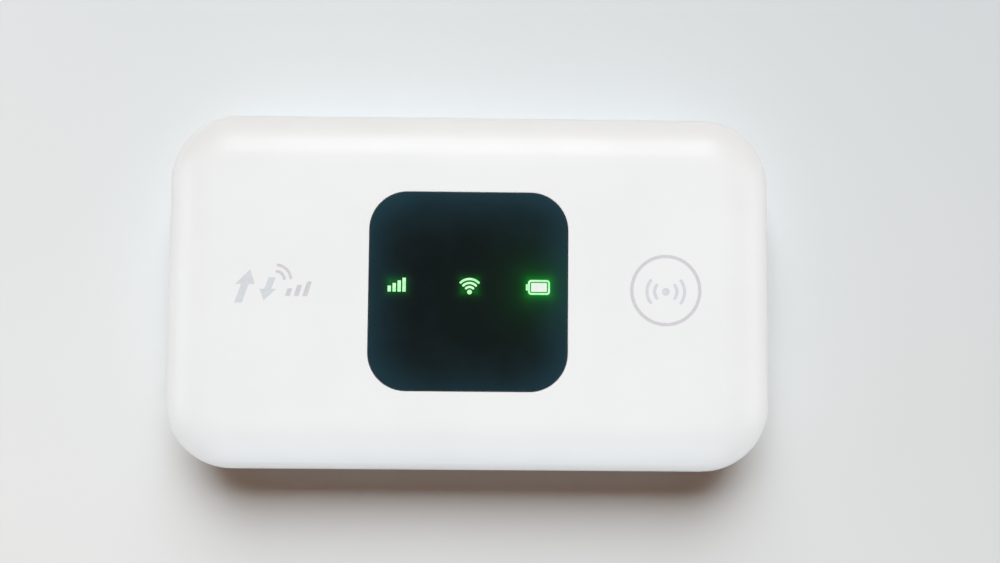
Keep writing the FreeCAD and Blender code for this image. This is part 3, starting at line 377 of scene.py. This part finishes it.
def foam():
    """Closed-cell foam with open pores on its cut face, their insides painted darker as painted shade."""
    g = Graph("cell_foam", Roughness=0.95)
    cells = g.add("TexVoronoi", feature="DISTANCE_TO_EDGE")
    g.join(g.place, cells.inputs["Vector"])
    cells.inputs["Scale"].default_value = 2400.0
    pore_depth_and_shade = g.span(cells.outputs["Distance"], 0.0, 0.12, 0.0, 1.0)
    # painted shade: the pores' insides are darker than the walls between them
    g.colour(g.mix(pore_depth_and_shade, (0.06, 0.06, 0.065), (0.022, 0.022, 0.025)))
    g.bump(pore_depth_and_shade, 0.6, 0.08 * MM)
    return g.material


def paper_label():
    """Coated paper: fibres and a soft sheen."""
    g = Graph("coated_paper", Sheen_Weight=0.1)
    fibres = g.noise(1.0, 4.0, 0.65, g.stretch((900.0, 3200.0, 900.0)))
    g.colour(g.ramp(fibres, 0.3, 0.7, (0.76, 0.76, 0.73), (0.84, 0.84, 0.82)))
    g.gloss(g.span(fibres, 0.3, 0.7, 0.5, 0.66))
    g.bump(fibres, 0.2, 0.015 * MM)
    return g.material


def printed_sleeve():
    """The battery's charcoal film sleeve, with a paler printed band towards its terminals."""
    g = Graph("cell_sleeve", IOR=1.5, Coat_Weight=0.25, Coat_Roughness=0.2)
    along = g.feed(g.add("SeparateXYZ"), g.place).outputs["X"]
    band_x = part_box("battery_wrap")[1].x - BAND_L
    printed = g.span(along, band_x - 0.03 * MM, band_x + 0.03 * MM, 0.0, 1.0)
    film = g.noise(240.0, 3.0, 0.55)
    dark = g.ramp(film, 0.3, 0.7, (0.050, 0.054, 0.062), (0.068, 0.073, 0.083))
    g.colour(g.mix(printed, dark, (0.33, 0.36, 0.40)))
    wrinkles = g.noise(1.0, 3.0, 0.6, g.stretch((60.0, 900.0, 900.0)))
    g.gloss(g.span(film, 0.3, 0.7, 0.34, 0.46))
    g.bump(wrinkles, 0.2, 0.03 * MM)
    return g.material


def ceramic_parts():
    """Fired ceramic bodies, each block a slightly different brown."""
    g = Graph("fired_ceramic", IOR=1.6)
    blotch = g.noise(180.0, 1.0, 0.5)
    g.colour(g.ramp(blotch, 0.35, 0.65, (0.30, 0.22, 0.15), (0.46, 0.38, 0.29)))
    g.gloss(g.span(blotch, 0.3, 0.7, 0.35, 0.5))
    return g.material


SHELL_WHITE = (0.83, 0.83, 0.83)
BLACK = (0.022, 0.022, 0.024)

LOOKS = {
    "shell_white": lambda: handled("shell_gloss", 0.36, coat=0.12),
    "frame_white": lambda: handled("frame_satin", 0.44, grain=0.25, share=0.97),
    "key_white": lambda: moulded("key_satin", tinted(SHELL_WHITE, 0.95), 0.40, grain=0.2),
    "key_grey": lambda: moulded("stem_grey", (0.25, 0.25, 0.26), 0.5),
    "screw_steel": lambda: metal("zinc_plate", (0.60, 0.60, 0.62), 0.32),
    "lens_black": smoked_lens,
    "tape_black": foam,
    "film_black": lambda: moulded("printed_film", (0.008, 0.008, 0.009), 0.5),
    "block_white": lambda: moulded("light_block", (0.72, 0.72, 0.70), 0.6),
    "lamp_white": lambda: moulded("lamp_resin", (0.80, 0.76, 0.50), 0.25, Subsurface_Weight=0.2),
    "board_green": circuit_board,
    "shield_tin": lambda: metal("tin_plate", (0.70, 0.69, 0.66), 0.38, (900.0, 2500.0, 900.0)),
    "chip_black": lambda: moulded("epoxy", BLACK, 0.55, grain=0.5, variation=0.15),
    "pad_grey": lambda: moulded("silicone", (0.22, 0.25, 0.29), 0.8, grain=0.6),
    "passive_tan": ceramic_parts,
    "drawn_steel": lambda: metal("nickel_steel", (0.68, 0.67, 0.65), 0.26),
    "insert_black": lambda: moulded("glass_filled_black", BLACK, 0.48, grain=0.4, variation=0.12),
    "contact_gold": plated_contact,
    "antenna_copper": lambda: metal("bare_copper", (0.86, 0.50, 0.34), 0.34),
    "cell_aluminium": lambda: metal("cell_can", (0.74, 0.74, 0.75), 0.40),
    "wrap_grey": printed_sleeve,
    "card_white": lambda: moulded("card_laminate", (0.74, 0.75, 0.78), 0.32, coat=0.3),
    "sticker_paper": paper_label,
    "foam_grey": foam,
}


def dress_nodes():
    """Gives every CAD node the look of its slot in the record."""
    made = {}
    for part in frame["record"]["subparts"]:
        slot = part["material_slot"]
        if slot not in made:
            made[slot] = LOOKS[slot]()
        mesh = NODES[part["node"]].data
        mesh.materials.clear()
        mesh.materials.append(made[slot])


# ---- flat marks ---------------------------------------------------------------------------------
def arc_points(centre, radius, start, end, steps):
    """Points on an arc, with angles in degrees anticlockwise from +X."""
    points = []
    for i in range(steps + 1):
        a = math.radians(start + (end - start) * i / steps)
        points.append((centre[0] + radius * math.cos(a), centre[1] + radius * math.sin(a)))
    return points


def circle(centre, radius, steps=96):
    return arc_points(centre, radius, 0, 360 - 360 / steps, steps - 1)


def band(centre, radius, width, start, end):
    """The outline of an arc-shaped stroke with round ends."""
    half = width / 2
    outer = arc_points(centre, radius + half, start, end, 24)
    inner = arc_points(centre, radius - half, end, start, 24)
    tip = arc_points(centre, radius, end, end, 1)[0]
    tail = arc_points(centre, radius, start, start, 1)[0]
    far = arc_points(tip, half, end, end + 180, 8)
    near = arc_points(tail, half, start + 180, start + 360, 8)
    return outer + far[1:-1] + inner + near[1:-1]


def bar(x0, x1, y0, y1, r):
    """A rectangle with rounded corners."""
    points = []
    corners = ((x1 - r, y1 - r), (x0 + r, y1 - r), (x0 + r, y0 + r), (x1 - r, y0 + r))
    for turns, centre in enumerate(corners):
        points += arc_points(centre, r, 90 * turns, 90 * turns + 90, 6)
    return points


def arrow(foot, tip, width, head, stem):
    """A solid arrow along Y, from its foot to its tip."""
    neck = tip - math.copysign(head, tip - foot)
    return [(-stem / 2, foot), (stem / 2, foot), (stem / 2, neck), (width / 2, neck),
            (0, tip), (-width / 2, neck), (-stem / 2, neck)]


def leaned(points, lean):
    """Slants an outline to the right, as italic marks are."""
    return [(x + y * lean, y) for x, y in points]


def moved(points, *offsets):
    """An outline shifted by each offset in turn."""
    dx = sum(offset[0] for offset in offsets)
    dy = sum(offset[1] for offset in offsets)
    return [(x + dx, y + dy) for x, y in points]


def flat_piece(name, outlines, base, thickness, material, body, turn=None):
    """A thin plate cut to the outlines, which nest as holes, standing on base along the plate's own +Z."""
    curve = bpy.data.curves.new(name, "CURVE")
    curve.dimensions = "2D"
    curve.fill_mode = "BOTH"
    curve.extrude = thickness / 2
    for outline in outlines:
        spline = curve.splines.new("POLY")
        spline.points.add(len(outline) - 1)
        for point, (x, y) in zip(spline.points, outline):
            point.co = (x, y, 0, 1)
        spline.use_cyclic_u = True
    flat = bpy.data.objects.new(name + "_outline", curve)
    mesh = bpy.data.meshes.new_from_object(flat)
    bpy.data.objects.remove(flat)
    bpy.data.curves.remove(curve)
    on_base = Matrix.Translation((0, 0, thickness / 2))
    mesh.transform(Matrix.Translation(base) @ (turn or Matrix.Identity(4)) @ on_base)
    mesh.materials.clear()
    mesh.materials.append(material)
    piece = bpy.data.objects.new(name, mesh)
    bpy.context.scene.collection.objects.link(piece)
    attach(piece, body)
    return piece


def signal_bars():
    """Four bars that rise to the right."""
    x, y = SIGNAL_AT
    bars = []
    for i in range(BAR_COUNT):
        left = x + BAR_LEFT + BAR_PITCH * i
        top = y + BAR_FIRST + BAR_RISE * i
        bars.append(bar(left, left + BAR_W, y + BAR_FOOT, top, 0.05 * MM))
    return bars


def radio_waves():
    """Three arcs over a dot."""
    dot = (WAVES_AT[0], WAVES_AT[1] - WAVES_DROP)
    arcs = [band(dot, r, WAVES_LINE, 90 - WAVES_SPREAD, 90 + WAVES_SPREAD) for r in WAVES_ARCS]
    return [circle(dot, WAVES_DOT, 32)] + arcs


def battery_frame():
    """The outline of a battery that lies with its cap to the left."""
    x, y = CHARGE_AT
    half_x, half_y = CELL_HALF
    in_x, in_y = half_x - CELL_LINE, half_y - CELL_LINE
    cap_right = x - half_x - 0.02 * MM
    cap_w, cap_half = CELL_CAP
    return [bar(x - half_x, x + half_x, y - half_y, y + half_y, 0.5 * MM),
            bar(x - in_x, x + in_x, y - in_y, y + in_y, 0.25 * MM),
            bar(cap_right - cap_w, cap_right, y - cap_half, y + cap_half, 0.1 * MM)]


def charge_bar():
    """The battery symbol's full charge."""
    x, y = CHARGE_AT
    half_x, half_y = LEVEL_HALF
    return [bar(x - half_x, x + half_x, y - half_y, y + half_y, 0.12 * MM)]


def indicators():
    """The three lit symbols, printed in the lens's face."""
    green = lit("lit_green", (0.62, 1.0, 0.62), (0.34, 1.0, 0.40), 1.0)
    pale = lit("lit_pale", (0.95, 0.93, 0.92), (0.80, 0.95, 0.84), 0.86)
    base = Vector((0, 0, LENS_Z - LIT_SUNK * LIT_T))
    for name, draw, look in (("signal_symbol", signal_bars, green),
                             ("wireless_symbol", radio_waves, green),
                             ("battery_symbol", battery_frame, green),
                             ("charge_level", charge_bar, pale)):
        flat_piece(name, draw(), base, LIT_T, look, "housing")


def ring_outlines():
    return [circle(RING_AT, RING_R + RING_LINE / 2), circle(RING_AT, RING_R - RING_LINE / 2)]


def sender_outlines():
    """A dot with two arcs on each side of it."""
    middle = (RING_AT[0], RING_AT[1] - SENDER_DROP)
    outlines = [circle(middle, SENDER_DOT, 32)]
    for r in SENDER_ARCS:
        for way in (0, 180):
            outlines.append(band(middle, r, SENDER_LINE, way - SENDER_SPREAD, way + SENDER_SPREAD))
    return outlines


def traffic_outlines():
    """One arrow up and a smaller one down."""
    return [moved(leaned(arrow(**UP_ARROW), SLANT), TRAFFIC_AT, UP_AT),
            moved(leaned(arrow(**DOWN_ARROW), SLANT), TRAFFIC_AT, DOWN_AT)]


def corner_arcs():
    """Two arcs that open up and to the right."""
    corner = moved([CORNER_AT], TRAFFIC_AT)[0]
    return [band(corner, r, CORNER_LINE, 8, 82) for r in CORNER_ARCS]


def step_outlines():
    """Three slanted bars that rise to the right."""
    x, y = STEPS_AT
    outlines = []
    for i in range(3):
        left = x + i * STEP_PITCH
        step = leaned(bar(left, left + STEP_W, 0, STEP_FIRST + STEP_RISE * i, 0.1 * MM), STEP_SLANT)
        outlines.append(moved(step, TRAFFIC_AT, (0, y)))
    return outlines


def cover_marks():
    """Pale prints on the cover: data traffic on the left, and a ringed transmitter on the right."""
    grey = ink("print_grey", (0.605, 0.63, 0.66))
    lilac = ink("print_lilac", (0.59, 0.57, 0.605))
    base = Vector((0, 0, FACE_Z - INK_SUNK * INK_T))
    for name, draw, look in (("ring_mark", ring_outlines, lilac),
                             ("sender_mark", sender_outlines, grey),
                             ("traffic_mark", traffic_outlines, grey),
                             ("arc_mark", corner_arcs, lilac),
                             ("step_mark", step_outlines, lilac)):
        flat_piece(name, draw(), base, INK_T, look, "housing")


def cross(x, y, half, line):
    """The outline of a plus sign."""
    t = line / 2
    return [(x - half, y - t), (x - t, y - t), (x - t, y - half), (x + t, y - half), (x + t, y - t),
            (x + half, y - t), (x + half, y + t), (x + t, y + t), (x + t, y + half), (x - t, y + half),
            (x - t, y + t), (x - half, y + t)]


def key_mark():
    """Grey paint in the sign engraved on the power key: a broken ring with a bar in its gap."""
    paint = ink("key_paint", (0.16, 0.165, 0.18))
    face_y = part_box("power_button")[1].y
    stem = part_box("power_switch_plunger")
    middle = (stem[0] + stem[1]) / 2
    ring = band((0, 0), SIGN_R, SIGN_LINE, 90 + SIGN_GAP, 450 - SIGN_GAP)
    upright = bar(-SIGN_LINE / 2, SIGN_LINE / 2, *SIGN_BAR, 0.04 * MM)
    base = Vector((middle.x, face_y - SIGN_DEPTH - PAINT_SUNK * INK_T, middle.z))
    facing = Matrix.Rotation(math.pi, 4, "Z") @ Matrix.Rotation(math.pi / 2, 4, "X")
    flat_piece("key_sign", [ring, upright], base, INK_T, paint, "power_button", facing)


def downwards(points):
    """An outline with Y reversed, which the half turn about X of a mark on an underside puts right."""
    return [(x, -y) for x, y in points]


def sleeve_marks(low, high):
    """A plus and a minus sign beside the terminals, and five blank rules."""
    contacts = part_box("battery_terminals")
    x = high.x - POLARITY_IN
    minus_y = contacts[1].y - MM
    half = POLARITY_LINE / 2
    marks = [cross(x, contacts[0].y + MM, POLARITY_HALF, POLARITY_LINE),
             bar(x - POLARITY_HALF, x + POLARITY_HALF, minus_y - half, minus_y + half, 0.1 * MM)]
    for i in range(RULE_COUNT):
        y = high.y - (6.0 + 2.2 * i) * MM
        marks.append(bar(low.x + 5 * MM, low.x + (26 - 3.5 * i) * MM, y, y + 0.7 * MM, 0.1 * MM))
    return marks


def label_marks(low, high):
    """A thin frame and five blank rules of uneven length."""
    edge = 2.0 * MM
    inner = 1.15 * edge
    marks = [bar(low.x + edge, high.x - edge, low.y + edge, high.y - edge, 0.8 * MM),
             bar(low.x + inner, high.x - inner, low.y + inner, high.y - inner, 0.6 * MM)]
    pitch = (high.y - low.y - 2 * edge) / (RULE_COUNT + 1)
    for i in range(1, RULE_COUNT + 1):
        y = low.y + edge + i * pitch
        marks.append(bar(low.x + 3 * MM, high.x - (4 + 5 * (i % 3)) * MM, y, y + 0.3 * MM, 0.1 * MM))
    return marks


def inner_marks():
    """Prints that show once the cover is off: battery polarity and rules, and a ruled blank label."""
    pale = ink("sleeve_print", (0.58, 0.60, 0.62))
    faint = ink("label_rules", (0.20, 0.21, 0.23))
    under = Matrix.Rotation(math.pi, 4, "X")
    for name, node, draw, look, body in (("sleeve_marks", "battery_wrap", sleeve_marks, pale, "battery"),
                                         ("label_rules", "bay_sticker", label_marks, faint, "housing")):
        low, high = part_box(node)
        outlines = [downwards(outline) for outline in draw(low, high)]
        base = Vector((0, 0, low.z + INK_SUNK * INK_T))
        flat_piece(name, outlines, base, INK_T, look, body, under)


# ---- stage --------------------------------------------------------------------------------------
def floor():
    """A pale sheet with painted shade, darker towards the rear right in place of light falling off, that
    fades into the backdrop further out, and lets light up from below.
    """
    mesh = bpy.data.meshes.new("floor")
    corners = [(x * FLOOR_HALF, y * FLOOR_HALF, FLOOR_Z) for x, y in ((-1, -1), (1, -1), (1, 1), (-1, 1))]
    mesh.from_pydata(corners, [], [(0, 1, 2, 3)])
    sheet = bpy.data.objects.new("floor", mesh)
    bpy.context.scene.collection.objects.link(sheet)
    g = Graph("pale_sheet_painted_falloff", Roughness=0.9, Specular_IOR_Level=0.05)
    # painted shade: the sheet's colour darkens towards the rear right in place of light falling off, with a
    # little random unevenness
    falloff_along = g.vector("DOT_PRODUCT", g.place, FLOOR_SHADE_WAY)
    uneven = g.math("ADD", falloff_along, g.math("MULTIPLY", g.noise(14.0, 2.0, 0.5), 0.03))
    depth = g.span(uneven, *FLOOR_SHADE_SPAN, 0.0, 1.0)
    g.colour(g.ramp(depth, 0.0, 1.0, (0.760, 0.785, 0.800), (0.570, 0.604, 0.630)))
    g.bump(g.noise(1500.0, 3.0, 0.6), 0.05, 0.05 * MM)
    far = g.add("MapRange", interpolation_type="SMOOTHSTEP")
    g.feed(far, g.vector("LENGTH", g.place), *FLOOR_CLEAR, 0.0, 1.0)
    clear = g.math("MAXIMUM", g.add("NewGeometry").outputs["Backfacing"], far.outputs[0])
    either = g.feed(g.add("MixShader"), clear)
    g.join(g.shader.outputs["BSDF"], either.inputs[1])
    g.join(g.add("BsdfTransparent").outputs[0], either.inputs[2])
    g.join(either.outputs[0], g.surface.inputs["Surface"])
    mesh.materials.append(g.material)
    sheet.visible_shadow = False


def backdrop():
    """A pale room around everything, which only the eye sees: a glowing shell with painted light in place of
    lit paper.
    """
    mesh = bpy.data.meshes.new("backdrop")
    shape = bmesh.new()
    bmesh.ops.create_uvsphere(shape, u_segments=48, v_segments=24, radius=ROOM_R)
    bmesh.ops.reverse_faces(shape, faces=shape.faces)
    shape.to_mesh(mesh)
    shape.free()
    room = bpy.data.objects.new("backdrop", mesh)
    bpy.context.scene.collection.objects.link(room)
    g = Graph("pale_room")
    g.tree.nodes.remove(g.shader)
    light = g.add("Emission")
    light.inputs["Strength"].default_value = 1.0
    tall = g.vector("DOT_PRODUCT", g.place, (0.0, 0.0, 1 / ROOM_R))
    # painted light: the shell glows in place of lit paper, paler low down and darker higher up
    g.join(g.ramp(tall, 0.0, 0.6, (0.74, 0.765, 0.765), (0.62, 0.65, 0.66)), light.inputs["Color"])
    g.join(light.outputs[0], g.surface.inputs["Surface"])
    mesh.materials.append(g.material)
    for ray in ("diffuse", "glossy", "transmission", "volume_scatter", "shadow"):
        setattr(room, "visible_" + ray, False)


def area_light(name, at, aim, size, level, colour, receivers=None, mirrored=True):
    """A soft box whose level is the share of full white it gives to a white card facing it."""
    reach = (Vector(at) - Vector(aim)).length
    data = bpy.data.lights.new(name, "AREA")
    data.shape = "RECTANGLE"
    data.size, data.size_y = size
    data.energy = level * (math.pi * reach) ** 2
    data.color = colour
    lamp = bpy.data.objects.new(name, data)
    lamp.location = at
    lamp.rotation_euler = (Vector(aim) - Vector(at)).to_track_quat("-Z", "Y").to_euler()
    lamp.visible_camera = False
    lamp.visible_glossy = mirrored
    lamp.light_linking.receiver_collection = receivers
    bpy.context.scene.collection.objects.link(lamp)


def floor_only(name, state):
    """A light-linking set that holds the floor, either as the only receiver or as the one left out."""
    group = bpy.data.collections.new(name)
    group.objects.link(bpy.data.objects["floor"])
    group.collection_objects[0].light_linking.link_state = state
    return group


def lights():
    """A broad window behind the object, soft fills around it, and a little bounce from below."""
    on_floor = floor_only("floor_receives", "INCLUDE")
    off_floor = floor_only("floor_left_out", "EXCLUDE")
    area_light("window", (-0.02, 0.97, 1.16), (0, 0, 0), (1.3, 0.72), 0.52, (0.905, 0.985, 1.0))
    area_light("window_on_floor", (-0.02, 1.11, 0.96), (0, 0, 0), (1.3, 1.3), 1.31, (0.94, 0.985, 1.0),
               on_floor)
    area_light("front_fill", (0, -0.80, 0.46), (0, 0, 0.01), (1.1, 0.5), 0.36, (0.67, 0.89, 1.0), off_floor)
    area_light("top_fill", (0, 0, 1.2), (0, 0, 0), (0.9, 0.9), 0.505, (0.895, 0.95, 1.0), off_floor, False)
    area_light("left_fill", (-0.85, 0.0, 0.35), (0, 0, 0.01), (0.7, 0.4), 0.19, (0.93, 0.98, 1.0), off_floor)
    area_light("right_fill", (0.85, 0.0, 0.35), (0, 0, 0.01), (0.7, 0.4), 0.20, (0.95, 0.985, 1.0), off_floor)
    area_light("bounce", (0, 0, -1.5), (0, 0, 0), (0.7, 0.7), 0.22, (0.97, 0.99, 1.0))


def surroundings():
    """A dim warm room above the floor, and pale light below it for what is lowered through it."""
    world = bpy.data.worlds.new("room")
    world.use_nodes = True
    tree = world.node_tree
    height = tree.nodes.new("ShaderNodeSeparateXYZ")
    shade = tree.nodes.new("ShaderNodeValToRGB")
    tree.links.new(tree.nodes.new("ShaderNodeTexCoord").outputs["Generated"], height.inputs[0])
    tree.links.new(height.outputs["Z"], shade.inputs["Fac"])
    shade.color_ramp.interpolation = "CONSTANT"
    below, above = shade.color_ramp.elements
    below.color = (*LIGHT_BELOW, 1)
    above.color = (*LIGHT_ABOVE, 1)
    above.position = 0.0001
    tree.links.new(shade.outputs["Color"], tree.nodes["Background"].inputs["Color"])
    world.cycles_visibility.glossy = False
    bpy.context.scene.world = world


def camera():
    """Nearly overhead and close, from just in front of the middle, as a phone is held over a desk."""
    data = bpy.data.cameras.new("camera")
    data.sensor_width = SENSOR_WIDTH
    data.lens = LENS_LENGTH
    data.clip_start = 0.01
    eye = bpy.data.objects.new("camera", data)
    tilt, lean, roll = (math.radians(angle) for angle in CAMERA_TURNS)
    turn = Matrix.Rotation(roll, 4, "Z") @ Matrix.Rotation(lean, 4, "Y") @ Matrix.Rotation(tilt, 4, "X")
    eye.matrix_world = Matrix.Translation(CAMERA_AT) @ turn
    bpy.context.scene.collection.objects.link(eye)
    bpy.context.scene.camera = eye


def tone():
    """Plain display tones, so that white plastic reads as white."""
    bpy.context.scene.view_settings.view_transform = "Standard"
    bpy.context.scene.view_settings.look = "None"
    bpy.context.scene.view_settings.exposure = 0.0


dress_nodes()
indicators()
cover_marks()
key_mark()
inner_marks()
floor()
backdrop()
lights()
surroundings()
camera()
tone()
